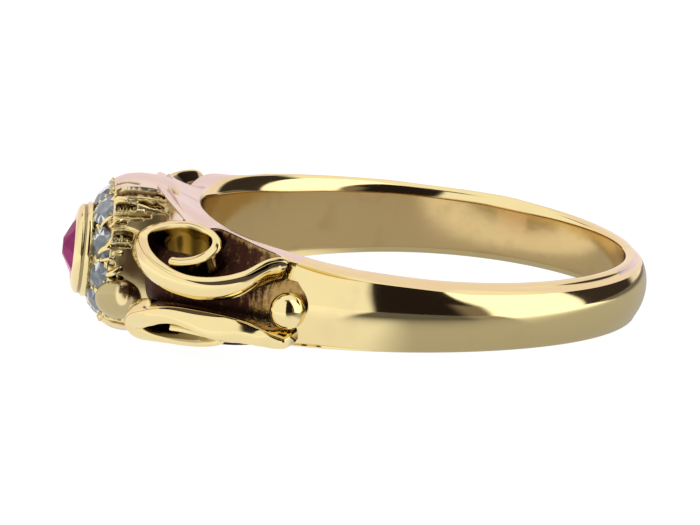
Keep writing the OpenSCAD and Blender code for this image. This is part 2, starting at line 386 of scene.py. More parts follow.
def new_group(name, inputs, outputs, taken="NodeSocketFloat", given="NodeSocketFloat"):
    """A shader node group with named inputs and their values, and named outputs"""
    group = bpy.data.node_groups.new(name, "ShaderNodeTree")
    for label, value in inputs.items():
        socket = group.interface.new_socket(name=label, in_out="INPUT", socket_type=taken)
        socket.default_value = value
    for label in outputs:
        group.interface.new_socket(name=label, in_out="OUTPUT", socket_type=given)
    return group, group.nodes.new("NodeGroupInput").outputs, group.nodes.new("NodeGroupOutput").inputs


def hand_polish_group():
    """Faint unevenness of a surface that was filed and polished by hand"""
    tree, asked, out = new_group("Hand polish", {"Size": 900.0, "Shine": 0.08},
                                 ("Height", "Roughness", "Tarnish"))
    place = place_on(tree)
    wave = noise(tree, place, asked["Size"], 2)
    specks = times(tree, noise(tree, place, 9000, 3), 0.05)
    cloud = ramp(tree, wave, 0.5, 0.8)
    rough = plus(tree, plus(tree, asked["Shine"], specks), times(tree, cloud, 0.04))
    feed(tree, plus(tree, wave, specks), out["Height"])
    feed(tree, rough, out["Roughness"])
    feed(tree, cloud, out["Tarnish"])
    return tree


def graver_group():
    """Tool marks that run along the finger, and the grain of cast metal"""
    tree, asked, out = new_group("Graver marks", {"Size": 5000.0}, ("Marks", "Grain"))
    place = place_on(tree)
    drawn = node(tree, "ShaderNodeMapping", {"Vector": place, "Scale": (1, 1, 0.14)}).outputs["Vector"]
    feed(tree, noise(tree, drawn, asked["Size"], 4, 0.65), out["Marks"])
    feed(tree, noise(tree, place, 7000, 4), out["Grain"])
    return tree


def new_material(name):
    material = bpy.data.materials.new(name)
    material.use_nodes = True
    return material, material.node_tree


def shade(tree, **inputs):
    """Feeds the shader: Base_Color stands for its socket Base Color, and so on"""
    shader = tree.nodes["Principled BSDF"]
    for name, value in inputs.items():
        feed(tree, value, shader.inputs[name.replace("_", " ")])


def shade_metal(tree, colour, rough, height, strength, distance):
    """Feeds the shader of a metal whose bumps are some metres high"""
    bump = node(tree, "ShaderNodeBump", {"Height": height, "Strength": strength, "Distance": distance})
    shade(tree, Base_Color=colour, Roughness=rough, Metallic=1, Normal=bump.outputs["Normal"])


def gold_material(name, groups, colour, deep, shine, wave=0.000004, tarnish=0.12, line=None):
    """Bright metal with a faint unevenness, and another colour painted where the line attribute is set:
    shade on the scrolls and collet, a highlight on the bosses
    """
    material, tree = new_material(name)
    polish = grouped(tree, groups["polish"], {"Shine": shine})
    seen = mix_colour(tree, times(tree, polish["Tarnish"], tarnish), colour, deep)
    # Painted light: the line attribute mixes in painted shade or, on the bosses, a painted highlight
    if line:
        seen = mix_colour(tree, attribute(tree, "line"), seen, line)
    shade_metal(tree, seen, polish["Roughness"], polish["Height"], 0.5, wave)
    return material


def recess_material(name, groups, light, dark):
    """Carved ground where the metal has darkened, with the painted shade and highlights of the shine
    attribute
    """
    material, tree = new_material(name)
    tool = grouped(tree, groups["marks"], {"Size": 5000})
    marks = plus(tree, times(tree, tool["Marks"], 1.1), times(tree, tool["Grain"], 0.5))
    texture_and_painted_light = plus(tree, marks, attribute(tree, "shine"))
    colour = mix_colour(tree, ramp(tree, texture_and_painted_light, 0.85, 1.35), dark, light)
    shade_metal(tree, colour, ramp(tree, texture_and_painted_light, 0.6, 1.4, 0.55, 0.24), marks, 0.7, 0.00006)
    return material


def gallery_material(name, groups, gold, rose, ground, dark):
    """Cast wall: bright where it stands proud, rosy where it faces up or down, painted dark in its cuts as
    shade
    """
    material, tree = new_material(name)
    grain = grouped(tree, groups["marks"], {"Size": 4000})["Grain"]
    rough = times(tree, math_node(tree, "SUBTRACT", grain, 0.5), 0.5)
    texture_and_painted_light = plus(tree, attribute(tree, "shine"), rough)
    bright = mix_colour(tree, attribute(tree, "rose"), gold, rose)
    low = mix_colour(tree, ramp(tree, texture_and_painted_light, -0.2, 0.25), dark, ground)
    colour = mix_colour(tree, ramp(tree, texture_and_painted_light, 0.25, 0.6), low, bright)
    shade_metal(tree, colour, ramp(tree, texture_and_painted_light, 0.0, 0.9, 0.5, 0.27), grain, 0.3, 0.00001)
    return material


def stone_material(name, deep, glint_colour, ior, transmission, gloss):
    """Cut stone whose facets are painted paler one by one as glints, with faint haze from old polish"""
    material, tree = new_material(name)
    cloud = noise(tree, place_on(tree), 2600, 3)
    haze = times(tree, math_node(tree, "SUBTRACT", cloud, 0.5), 0.5)
    painted_glint = plus(tree, attribute(tree, "painted_glint"), haze, clamp=True)
    rough = ramp(tree, cloud, 0.3, 0.8, 0.02, 0.06)
    shade(tree, Base_Color=mix_colour(tree, painted_glint, deep, glint_colour), Roughness=rough, IOR=ior,
          Transmission_Weight=transmission, Specular_IOR_Level=gloss)
    return material


def make_materials(looks):
    groups = {"polish": hand_polish_group(), "marks": graver_group()}
    gold, rose, ground, dark = looks.gold[:], looks.rose[:], looks.ground[:], looks.tarnish[:]
    amber = [0.6 * g + 0.1 * d for g, d in zip(gold, dark)]
    # drawn is the colour of the painted shade on the scrolls and in the collet's grooves
    shaded_gold, painted_highlight, drawn = [0.6 * c for c in gold], (0.97, 0.80, 0.45), (0.075, 0.05, 0.03)
    # The inside is a darker, more amber copy of the gold: painted shade and painted reflection inside the
    # band
    inside, inside_deep = (0.74, 0.56, 0.27), (0.45, 0.29, 0.11)
    MATERIALS.update({
        "polished": gold_material("Polished gold", groups, gold, amber, 0.05),
        "scroll": gold_material("Scroll gold", groups, gold, amber, 0.05, line=drawn),
        # Cast gold: a darker copy of the gold as painted shade, with a painted highlight where the line
        # attribute is set
        "cast": gold_material("Cast gold", groups, shaded_gold, amber, 0.24, 0.000008, 0.3, painted_highlight),
        "side": gold_material("Satin side", groups, rose, gold, 0.2, 0.00001, 0.2),
        "bore": gold_material("Shaded inside", groups, inside, inside_deep, 0.1, 0.00001, 0.22),
        "recess": recess_material("Carved ground", groups, ground, dark),
        "gallery": gallery_material("Gallery metal", groups, gold, rose, ground, dark),
        # The second colour of each stone is its painted glint colour
        "ruby": stone_material("Ruby", looks.ruby[:], (0.60, 0.005, 0.31), 1.77, 0, 0.06),
        "diamond": stone_material("Diamond", looks.diamond[:], (0.9, 0.95, 1.0), 2.42, 0.15, 0.22),
    })


# Band and shoulders
def rail_outline(a, up):
    """Half section of the ring's inner part from the middle of the bore to the middle outside"""
    b = folded(a)
    thick = crown_r(b) - BORE_R
    edge, wide, soft = bore_edge(a, up), side_w(a, up, INNER_END), ease((b - 8) / 30)
    t = ease((b - 50.5) / 4.5)
    shelf = ease((24 - b) / 12)
    carved_r = curve_at(SHOULDER, b, SIDE_R) + 0.36 * shelf
    carved_w = curve_at(SHOULDER, b, SIDE_HALF) + 0.02 * shelf
    carved_w = max(carved_w, rim_w(b) + SIDE_PROUD) - rim_dip(b, up)
    rs = (BORE_R + 0.58 * thick) * t + carved_r * (1 - t)
    ws = side_w(a, up, OUTER_END) * t + carved_w * (1 - t)
    crease_r, crease_w = dome_edge(a, up)
    if up < 0 < t:
        rs = min(rs, crease_r - 0.06)
    rc = crease_r * t + (carved_r - 0.03) * (1 - t)
    wc = min(crease_w, ws) * t + (carved_w - 0.12) * (1 - t)
    ri = BORE_R + 0.09 + 0.26 * soft
    outline = [(BORE_R, 0), (BORE_R, 0.5 * edge), (BORE_R, edge - 0.12), (BORE_R, edge - 0.03),
               (BORE_R + 0.008, edge)]
    for f in (0.12, 0.3, 0.5, 0.7, 0.88):
        bulge = 0.05 * soft * math.sin(math.pi * f)
        outline.append((BORE_R + (ri - BORE_R) * f - bulge, edge + (wide - edge) * f + bulge))
    return outline + [
        (ri + 0.02, wide), (0.5 * (ri + 0.02 + rs), 0.5 * (wide + ws)), (rs - 0.05, ws),
        (rs - 0.01, ws - 0.008), (rs + 0.03, ws - 0.02), (0.5 * (rs + rc) + 0.01, 0.5 * (ws + wc)),
        (rc - 0.02, wc + 0.01), (rc, wc), (rc - 0.2, wc - 0.3), (rc - 0.2, 0),
    ]


# Points of the outline where the flat inside ends and where the side begins and ends
FLAT_END, SIDE_FIRST, SIDE_LAST = 4, 10, 13


def finger_rail():
    """The ring's inner part: the bore, its rounded edges and the satin sides"""
    bm = bmesh.new()
    half = len(rail_outline(0, 1))
    around, stations = 2 * half - 2, 288

    def place(s, t):
        a = 360 * t
        k = round(s * around) % around
        up = 1 if k < half else -1
        r, u = rail_outline(a, up)[k if k < half else around - k]
        return polar(r, a, u * up)

    def finish_of(c):
        outline = rail_outline(angle_of(c), 1 if c.z > 0 else -1)
        r, b = math.hypot(c.x, c.y), folded(angle_of(c))
        if abs(c.z) < outline[FLAT_END][1] + 0.005 and r < BORE_R + 0.02:
            return "bore"
        inside, outside = r < outline[SIDE_FIRST][0] - 0.01, r > outline[SIDE_LAST][0]
        return "polished" if inside and b > 12 or outside and b > 52.5 or 58 < b < 147 else "side"

    tube(bm, around, stations, place, caps=False)
    finishes = ("bore", "side", "polished")
    for f in bm.faces:
        f.material_index = finishes.index(finish_of(f.calc_center_median()))
    finish(bm, "finger_rail", *finishes, sharp=60)


def band_start(u):
    """Angle at which the dome starts: cut back round the bead"""
    away = (u - 0.06) / 1.12
    return BAND_START + 4.5 * max(0.0, 1 - away * away) ** 1.15


def dome_point(a, q):
    """Point on the dome, q from -1 at its lower crease to 1 at its upper crease"""
    edge, wide = dome_edge(a, 1 if q > 0 else -1)
    return edge + (crown_r(folded(a)) - edge) * (1 - abs(q) ** DOME_POWER), wide * q


def polished_band():
    """The dome from one shoulder round the back to the other, with a wall at each end"""
    bm = bmesh.new()
    dome, under, wall, settle, stations = 48, 6, 4, 18, 270
    around = dome + under
    begin, sweep = 57, 246
    deep = BORE_R + 0.5

    def place(s, t):
        k = round(s * around) % around
        row = round(t * stations)
        first = min(row, stations - row)
        side = -1 if row > stations / 2 else 1
        a = begin + sweep * t
        if k > dome:
            r, u = dome_point(a, 1 - 2 * (k - dome) / under)
            return polar(BORE_R + 0.3, a if first else a + side * 2, u * 0.9)
        r, u = dome_point(a, -1 + 2 * k / dome)
        start = band_start(u)
        if first < wall:
            return polar(deep + (r - 0.05 - deep) * first / wall, side * start, u)
        if first == wall:
            return polar(r - 0.02, side * (start + 0.08), u)
        near = min(1.0, (first - wall) / settle)
        return polar(r, side * (start + (max(folded(a), start) - start) * near), u)

    tube(bm, around, stations, place)
    finish(bm, "polished_band", "polished", sharp=50)


# Hollows inside the coils: side, height where each begins and of its middle, half height and half
# length, angle of its middle
HOLLOWS = ((1, 0.57, 1.62, 0.60, 1.12, 30.7), (-1, 0.80, 1.95, 0.62, 1.9, 33.5))
HOLLOW_R, HOLLOW_FLOOR = 10.57, 9.45


def floor_at(a, u):
    """Radius of the carved ground between the scrolls at angle a and height u, and its painted shade: dark
    in the coils' hollows, with painted highlights on some bars
    """
    reach = curve_at(SHOULDER, a, SIDE_HALF) - (rim_dip(a, 1) if u > 0 else 0) - 0.02
    valley, side, middle = (curve_at(SHOULDER, a, c) for c in (VALLEY, SIDE_R, MIDDLE))
    x = min(abs(u - middle) / abs(reach - middle if u > middle else reach + middle), 1.0)
    side -= 0.04
    r = side + (valley - side) * (0.5 + 0.5 * math.cos(math.pi * x ** 1.35))
    dark = 0.0
    for hand, low, high, half, length, at in HOLLOWS:
        away = math.hypot(math.radians(a - at) * HOLLOW_R / length, (hand * u - high) / half)
        inside = ease((1.15 - away) / 0.3)
        if hand * u > low:
            bars = 0.5 + 0.5 * math.sin(a * 2.9 + 0.6 * math.sin(u * 9))
            r -= inside * (max(0.0, r - HOLLOW_FLOOR) - 0.12 * bars - 0.25 * away ** 2)
            # Painted shade in the hollow; bars between 28 and 34 degrees get a painted highlight
            dark = max(dark, inside * (0.5 - 0.8 * bars * (1 if 28 < a < 34 else 0.3)))
    if a > 53:
        lie = min(1.0, max(-1.0, u / dome_edge(a, u)[1]))
        under = dome_point(a, lie)[0] - 0.12
        r += (min(r, under) - r) * ease((a - 53) / 1.5)
    return r, dark


def ground_edge(b, up):
    """Half width of the carved ground, which draws in under the band's dome"""
    wide = curve_at(SHOULDER, b, SIDE_HALF) - 0.02 - rim_dip(b, up)
    return wide + (dome_edge(b, up)[1] - 0.06 - wide) * ease((b - 52) / 2.2)


def carved_ground():
    """The floor between the scrolls, from one shoulder under the head to the other"""
    bm = bmesh.new()
    shine = bm.verts.layers.float.new("shine")
    over, under, along = 86, 4, 250
    reach = 65.0
    facts = {}

    def place(s, t):
        a = -reach + 2 * reach * t
        low, high = (ground_edge(abs(a), up) for up in (-1, 1))
        k = round(s * (over + under))
        if k > over:
            return polar(8.62, a, 0.9 * (high - (high + low) * (k - over) / under))
        u = -low + (high + low) * k / over
        r, dark = floor_at(abs(a), u)
        p = polar(r, a, u)
        edge, tail = ease((max(u - high, -u - low) + 0.35) / 0.35), ease((abs(a) - 43) / 11)
        # Lighter towards the ground's edges and its ends, less the painted shade of the hollows
        facts[key(p)] = (0.5 * max(edge, tail) - dark,)
        return p

    tube(bm, over + under, along, place)
    write_marks(bm, facts, (0.0,), shine)
    for f in bm.faces:
        c = f.calc_center_median()
        b = folded(angle_of(c))
        if (abs(c.z) > 1.3 + 0.045 * b or c.z > 1.2) and b < 19:
            f.material_index = 1
    finish(bm, "carved_ground", "recess", "side")


# Scrolls and beads
def scroll_section(land, out, line, slope, depth, dome, foot):
    """Across and above the land: inside wall, domed land, a stepped line painted dark as shade, bulging
    outside wall
    """
    half, sunk = land / 2, 0.3 * line
    step = half + line
    points = [(-half - slope - foot, -depth * 1.5), (-half - slope * 0.8, -depth * 0.7),
              (-half - slope * 0.4, -0.22), (-half - 0.012, -0.07), (-half + 0.004, -0.02)]
    points += [(-half + 0.02 + (land - 0.04) * k / 8, dome * math.sin(math.pi * k / 8)) for k in range(9)]
    points += [(half - 0.002, -0.02), (half + 0.004, -0.05 - 0.1 * line), (half + line * 0.5, -0.06 - sunk),
               (step, -0.05 - sunk), (step + 0.01, -0.03 - sunk)]
    first, end = math.radians(40), math.pi * 0.56
    for k in range(11):
        turn = first + (end - first) * k / 10
        bulge = (math.sin(turn) - math.sin(first)) / (1 - math.sin(first))
        fall = (math.cos(first) - math.cos(turn)) / math.cos(first)
        points.append((step + 0.02 + out * bulge, -0.04 - sunk - 0.68 * depth * fall))
    return points + [(step + out * 0.4, -depth * 0.93), (step - 0.3, -depth * 1.02)]


def painted_wall_shade(k, count, line, inner, outer):
    """Painted shade at point k: the section's underside, the stepped line under the land, the walls as asked
    """
    if k > count - 3 or 15 <= k <= 17 and line > 0.022:
        return 1.0
    if k < 4:
        return inner
    return outer if k > 20 else 0.0


def scroll(bm, path, hand, section, sizes, painted_shades):
    """Sweeps the section along the land; sizes and the painted shade of the walls are read along the way"""
    last, along, e = len(path) - 1, 190, 0.02
    painted_light = bm.verts.layers.float.new("line")
    facts = {}
    depth, dome, foot, rise = section

    def on_land(p):
        return polar(land_r(p[0], p[1]), p[0], p[1])

    def frame_at(t):
        s = last * t
        p = spline_at(path, s)
        here = on_land(p)
        up = (on_land((p[0] + 1, p[1])) - here).cross(on_land((p[0], p[1] + 0.05)) - here).normalized()
        angle = math.radians(p[0])
        up += curve_at(sizes, t, TURN) * Vector((math.sin(angle), -math.cos(angle), 0))
        up = (up + Vector((0, 0, curve_at(sizes, t, TILT)))).normalized()
        before, after = (on_land(spline_at(path, x)) for x in (max(0, s - e), min(last, s + e)))
        ahead = (after - before).normalized()
        across = hand * up.cross(ahead).normalized()
        return here, across, (up - up.dot(ahead) * ahead * ease((t - 0.25) / 0.15)).normalized()

    frames = [frame_at(k / along) for k in range(along + 1)]
    count = len(scroll_section(0.3, 0.1, 0, 0.1, depth, dome, foot))

    def place(s, t):
        k = round(s * count) % count
        row = round(t * along)
        here, across, up = frames[row]
        land, out, line, slope = (curve_at(sizes, t, c) for c in (LAND, BULGE, LINE, SLOPE))
        side, high = scroll_section(land, out, line, slope, depth, dome, foot)[k]
        end = min(row, along - row, 2)
        shrink, drop = (0.86, 0.96, 1.0)[end], (0.05, 0.012, 0.0)[end]
        out_of = rise * max(0, 1 - 5.5 * t) ** 1.3
        p = here + (side - line / 2) * shrink * across + (high - drop + out_of) * up
        # Painted shade: the wall's foot, the stepped line under the land, and the inside and outside walls
        # as the table asks
        facts[key(p)] = (painted_wall_shade(k, count, line, *(curve_at(painted_shades, t, c) for c in (1, 2))),)
        return p

    tube(bm, count, along, place)
    write_marks(bm, facts, (0.0,), painted_light)


# Columns along the way: land's width, outside wall's bulge, width of the stepped line painted dark
# as shade, upward tilt, inside wall's slope, turn to the side
LAND, BULGE, LINE, TILT, SLOPE, TURN = range(1, 7)
# Each pair of scrolls: name, path, hand, section (depth, dome, foot, rise at the start), the sizes along
# the way, and along the way how much painted shade the inside and the outside wall get
SCROLLS = (
    ("upper_scrolls", UPPER_SCROLL, 1, (0.82, 0.02, 0.3, 0), (
        (0, 0.20, 0.14, 0.05, 0.8, 0.2, 0.5), (0.05, 0.20, 0.15, 0.15, 0.85, 0.2, 0.5),
        (0.2, 0.22, 0.18, 0.18, 0.9, 0.2, 0.7), (0.27, 0.23, 0.19, 0.12, 0.9, 0.15, 0.7),
        (0.34, 0.25, 0.20, 0.01, 0.9, 0.1, 0.7), (0.44, 0.30, 0.26, 0.01, 0.9, 0.08, 0.7),
        (0.5, 0.37, 0.34, 0.01, 0.9, 0.08, 0.7), (0.56, 0.39, 0.36, 0.01, 0.9, 0.08, 0.7),
        (0.62, 0.29, 0.22, 0.01, 0.9, 0.08, 0.7), (0.67, 0.21, 0.05, 0.01, 0.9, 0.08, 0.7),
        (0.74, 0.22, 0.03, 0.01, 0.7, 0.08, 0.5), (0.8, 0.35, 0, 0.01, 0.3, 0.08, 0.25),
        (0.86, 0.40, 0, 0.01, 0.2, 0.08, 0.1), (0.92, 0.32, 0.04, 0.01, 0.4, 0.05, 0.1),
        (1, 0.24, 0.08, 0.01, 0.6, 0.05, 0.2)),
     ((0, 0.3, 0), (0.4, 0.4, 0), (0.47, 0.6, 0), (0.52, 0.6, 0.6), (0.6, 0.5, 0.8), (0.625, 0, 0.8),
      (0.65, 0, 0.8), (0.67, 0.7, 0.6), (0.69, 0.6, 0.5), (0.71, 0, 0.4), (0.735, 0, 0.4), (0.76, 0.7, 0.8),
      (0.84, 0.7, 0.9), (0.86, 0.7, 0), (0.9, 0.7, 0), (0.93, 0.7, 0.7), (1, 0.7, 0.8))),
    ("lower_scrolls", LOWER_SCROLL, -1, (0.8, 0.06, -0.3, 0.22), (
        (0, 0.36, 0.05, 0.01, 0.1, 0.1, -0.4), (0.043, 0.54, 0.05, 0.01, 0.1, 0.1, -0.45),
        (0.087, 0.66, 0.05, 0.015, 0.1, 0.1, -0.5), (0.13, 0.80, 0.05, 0.02, 0.1, 0.1, -0.4),
        (0.174, 0.87, 0.06, 0.03, 0.15, 0.1, -0.2), (0.217, 0.82, 0.08, 0.10, 0.2, 0.1, 0.05),
        (0.26, 0.62, 0.10, 0.13, 0.2, 0.1, 0.3), (0.30, 0.53, 0.12, 0.10, 0.2, 0.1, 0.4),
        (0.35, 0.58, 0.14, 0.02, 0.1, 0.1, 0.5), (0.39, 0.66, 0.14, 0.01, 0, 0.08, 0.5),
        (0.44, 0.76, 0.12, 0.01, 0, 0.08, 0.5), (0.52, 0.74, 0.1, 0.01, 0, 0.08, 0.5),
        (0.6, 0.40, 0.1, 0.01, 0, 0.08, 0.5), (0.7, 0.24, 0.1, 0.01, 0, 0.05, 0.5),
        (0.84, 0.2, 0.05, 0.01, 0, 0.03, 0.5), (1, 0.16, 0.05, 0.01, 0, 0.03, 0.5)),
     ((0, 0.3, 0), (0.35, 0.5, 0), (0.42, 0.7, 0), (0.7, 0.5, 0.1), (0.78, 0.0, 0.3), (1, 0.3, 0.6))),
)


def scrolls():
    for name, *shape in SCROLLS:
        bm = bmesh.new()
        scroll(bm, *shape)
        finish(bm, name, "scroll", sharp=42, twin=True)


def ball(bm, centre, radii, segments, turn=Matrix.Identity(3)):
    """A rounded mass, its local Z turned by a matrix"""
    matrix = Matrix.Translation(centre) @ turn.to_4x4() @ Matrix.Diagonal((*radii, 1))
    return bmesh.ops.create_uvsphere(bm, u_segments=segments, v_segments=segments // 2, radius=1,
                                     matrix=matrix)["verts"]


def beads(radius):
    bm = bmesh.new()
    turn = polar(1, BEAD_A, 0).to_track_quat("Z", "Y").to_matrix()
    ball(bm, polar(10.46, BEAD_A, -0.12), (radius,) * 3, 48, turn)
    finish(bm, "shoulder_beads", "polished", twin=True)


# Head
def on_head(x, y, h):
    return ON_HEAD @ Vector((x, y, h))


def squared(c, power):
    return math.copysign(abs(c) ** (1 / power), c)


def gallery_point(q, h, out=0.0):
    """Point on the gallery's wall at oval angle q and height h, pushed out along its normal"""
    a, b, power = (curve_at(GALLERY, h, k) for k in (HALF_LONG, HALF_WIDE, SQUARE))
    x, y = a * squared(math.cos(math.radians(q)), power), b * squared(math.sin(math.radians(q)), power)
    normal = Vector((x / a ** 2, y / b ** 2, 0)).normalized()
    return on_head(x + normal.x * out, y + normal.y * out, h)


def arc_lengths():
    """Millimetres round the gallery at its middle height, by whole degrees from the top"""
    points = [gallery_point(q, 11.6) for q in range(181)]
    return np.cumsum([0.0] + [(b - a).length for a, b in zip(points, points[1:])])


# Relief of the wall on both sides: half width, height (a cut is negative), taper, then angle and
# height of points; a line that stays below 44 degrees is repeated on the underside
RELIEF = (
    (0.09, -0.10, 0, ((16, 12.02), (16.5, 11.84), (18.5, 11.55), (21.5, 11.25))),
    (0.17, -0.13, 0, ((31, 11.98), (32.5, 11.56), (34.5, 11.09), (35.5, 10.69), (36, 10.4))),
    (0.045, -0.10, 0, ((36.5, 11.95), (38.5, 11.62), (39.5, 11.3))),
    (0.12, -0.36, 0, ((35.2, 10.45), (37.2, 10.27))),
    (0.11, -0.15, 0, ((43.2, 11.11), (46, 10.83), (48, 10.59))),
    (0.11, -0.36, 0, ((46.3, 10.50), (49, 10.28))),
    (0.055, -0.12, 0, ((53, 12.07), (54.5, 11.69), (57.2, 11.21), (57.8, 10.7))),
    (0.06, -0.22, 0, ((58.5, 12.13), (59, 11.87), (60.5, 11.63))),
    (0.045, -0.12, 0, ((76.5, 12.1), (77.2, 11.8), (79, 11.36))),
    (0.10, -0.28, 0, ((90, 12.2), (91, 12.0))),
    (0.13, -0.30, 0, ((98, 12.3), (100, 12.0), (101, 11.6))),
    (0.13, -0.32, 0, ((143, 11.9), (138, 11.64), (134, 11.42))),
    (0.055, 0.08, 0, ((25.5, 12.09), (25, 11.87), (27, 11.53), (28.5, 11.1), (29, 10.66), (30, 10.34),
                      (33.5, 10.14))),
    (0.055, 0.10, 0, ((35, 12.04), (40, 11.62), (41, 11.16), (42, 10.76), (42.5, 10.36), (43, 10.2))),
    (0.06, 0.12, 0, ((39, 11.98), (43.3, 11.63), (47, 11.27), (51, 10.81), (53, 10.29))),
    (0.20, 0.12, 0.75, ((49.3, 11.22), (52, 10.82), (54, 10.45), (55, 10.08))),
    (0.085, 0.15, 0, ((47, 12.28), (49.5, 11.9), (52.3, 11.4), (53.5, 11.0))),
    (0.07, 0.11, 0, ((52.5, 12.2), (55.5, 11.88), (58.5, 11.41), (59.5, 11.01))),
    (0.085, 0.15, 0.3, ((63.5, 12.2), (63.8, 12), (65, 11.65), (68, 11.33), (70.5, 11.12), (73, 10.8))),
    (0.07, 0.12, 0.3, ((74, 12.18), (74.5, 11.8), (76, 11.4), (75.5, 11.1))),
    (0.08, 0.10, 0, ((82, 11.95), (82.5, 11.72))),
    (0.08, 0.10, 0.3, ((107, 12.2), (106, 11.8), (104, 11.2))),
    (0.08, 0.10, 0.3, ((128, 12.2), (128, 11.8), (126, 11.2))),
)
# Windows: angle at the top and at the sill, sill's height, half width
WINDOWS = ((44, 48.3, 11.42, 0.17), (69.3, 71.6, 11.46, 0.17))
WALL_LOW, WALL_TOP = 9.6, 12.16


def relief(around, up):
    """Height of the gallery's relief on a grid of angles and heights, its windows cut deep"""
    lengths = arc_lengths()

    def arc(angle):
        return np.interp(angle, np.arange(181), lengths)

    s, h = np.meshgrid(arc(np.abs(np.linspace(-180, 180, around + 1))),
                       np.linspace(WALL_LOW, WALL_TOP, up + 1), indexing="ij")
    high = np.zeros_like(s)

    def stroke(points, half, height, taper):
        best = np.full_like(s, 9.0)
        for k, ((qa, ha), (qb, hb)) in enumerate(zip(points, points[1:])):
            sa, ds, dh = arc(qa), arc(qb) - arc(qa), hb - ha
            along = np.clip(((s - sa) * ds + (h - ha) * dh) / (ds ** 2 + dh ** 2), 0, 1)
            away = np.hypot(s - sa - along * ds, h - ha - along * dh)
            best = np.minimum(best, away / (half * (1 - taper * (k + along) / (len(points) - 1))))
        x = np.clip(best, 0, 1)
        return height * (np.sqrt(1 - x ** 2.5) if height > 0 else (1 - x ** 2) ** 0.8)

    for half, height, taper, points in RELIEF:
        lines = [points]
        if max(q for q, z in points) < 44:
            lines.append([(180 - q, z) for q, z in points])
        for line in lines:
            raised = stroke(line, half, height, taper)
            if height > 0:
                high = np.where(raised > 0, np.maximum(high, raised), high)
            else:
                high = np.minimum(high, raised)
    for top, low, sill, half in WINDOWS:
        middle = arc(low) + (arc(top) - arc(low)) * (h - sill) / (WALL_TOP - sill)
        over = np.clip((sill - h) / (half * 0.9), 0, None)
        away = np.hypot((s - middle) / half, over) + np.where(h > 12.06, 9, 0)
        rim, hole = (np.clip(x / 0.25, 0, 1) for x in (away - 1, 1.15 - away))
        high = np.where(away < 1.25, high * rim - 0.34 * hole, high)
    return high


def gallery():
    """The oval wall below the diamonds, with its relief and windows"""
    bm = bmesh.new()
    shine, rose = (bm.verts.layers.float.new(name) for name in ("shine", "rose"))
    around, up = 480, 92
    high = relief(around, up)
    facts = {}

    def place(s, t):
        i, j = round(s * around), round(t * up)
        out = high[0 if i == around else i, j]
        p = gallery_point(-180 + 360 * s, WALL_LOW + (WALL_TOP - WALL_LOW) * t, out)
        # The shine attribute paints shade into the relief's cuts and the windows
        facts[key(p)] = (0.7 + min(0.0, out) * 6 + max(0.0, out) * 2, ease((abs(p.z) - 2.65) / 0.3))
        return p

    tube(bm, around, up, place, caps=False)
    write_marks(bm, facts, (0.7, 0), shine, rose)
    finish(bm, "gallery", "gallery", towards=lambda f: f.calc_center_median() - on_head(0, 0, 11),
           thickness=0.32)


def seats():
    """Cups that the diamonds sit in, from the top of the gallery's wall in to the collet"""
    bm = bmesh.new()
    shine = bm.verts.layers.float.new("shine")
    around, inward, lip = 300, 26, 0.12
    seat_frames = [at_diamond(i).inverted() for i in range(1, DIAMONDS + 1)]
    facts = {}

    def place(s, t):
        c, k = math.cos(math.tau * s), math.sin(math.tau * s)
        if t < lip:
            p = Vector((2.66 * c, 2.30 * k, 11.7 + 3.4 * t))
        else:
            f = (t - lip) / (1 - lip)
            x, y = 2.72 + (1.6 - 2.72) * f, 2.38 + (1.6 - 2.38) * f
            p = Vector((x * c, y * k, 12.04 + 0.48 * f ** 0.9))
        away = min(math.hypot(*(seat @ p).xy) for seat in seat_frames)
        web = ease((away - 0.60) / 0.14)
        proud = web * 0.16 * (1 - max(0.0, t - lip) ** 2) - 0.30 * (1 - web)
        p = ON_HEAD @ (p + Vector((c * 0.6, k * 0.6, 0.8)).normalized() * proud)
        # Painted shade: the cups are darker close to the stones
        facts[key(p)] = (0.15 + 0.6 * web,)
        return p

    tube(bm, around, inward, place, caps=False)
    write_marks(bm, facts, (0.3,), shine)
    finish(bm, "diamond_seats", "gallery", towards=lambda f: Vector((-1, 0, 0)), thickness=0.12)


def prong(bm, thick, path):
    """A claw along points given as gallery angle, height and distance from the wall"""
    points = [gallery_point(*p) for p in path]
    last = len(points) - 1
    taper, flat, around, along = 0.35, 0.8, 12, 16

    def place(s, t):
        k = t * last
        here = spline_at(points, k)
        ahead = (spline_at(points, min(last, k + 0.05)) - spline_at(points, max(0, k - 0.05))).normalized()
        side = ahead.cross((here - on_head(0, 0, 11.2)).normalized()).normalized()
        r = thick * (1 - taper * t) * math.sqrt(max(0.02, 1 - abs(2 * t - 1) ** 7))
        turn = math.tau * s
        return here + r * math.cos(turn) * side + flat * r * math.sin(turn) * side.cross(ahead)

    tube(bm, around, along, place)


# Claws on the camera's side of the head, repeated on the far side: thickness, then points of
# gallery angle, height and distance from the wall
CLAWS = (
    (0.085, ((-52.5, 12.10, 0.02), (-53, 12.32, 0.07), (-55, 12.48, 0.07), (-58.5, 12.60, 0.0))),
    (0.07, ((-57, 11.75, 0.04), (-57.8, 11.95, 0.10), (-59, 12.12, 0.10), (-61, 12.26, 0.03))),
    (0.12, ((-77, 12.10, 0.03), (-78, 12.32, 0.10), (-80, 12.48, 0.10), (-84, 12.60, -0.01))),
    (0.075, ((-86, 11.9, 0.02), (-86.5, 12.15, 0.07), (-88, 12.36, 0.06), (-90, 12.5, -0.03))),
    (0.14, ((-92, 11.60, 0.12), (-94, 11.78, 0.17), (-97, 12.0, 0.17), (-100, 12.22, 0.08))),
    (0.09, ((-116, 11.95, 0.04), (-117, 12.2, 0.09), (-118.5, 12.42, 0.05), (-120, 12.58, -0.05))),
    (0.08, ((-124, 11.95, 0.04), (-124, 12.2, 0.09), (-123, 12.42, 0.05), (-122, 12.58, -0.05))),
)


def claws():
    bm = bmesh.new()
    for claw in CLAWS:
        prong(bm, *claw)
    finish(bm, "claws", "polished", twin=True)


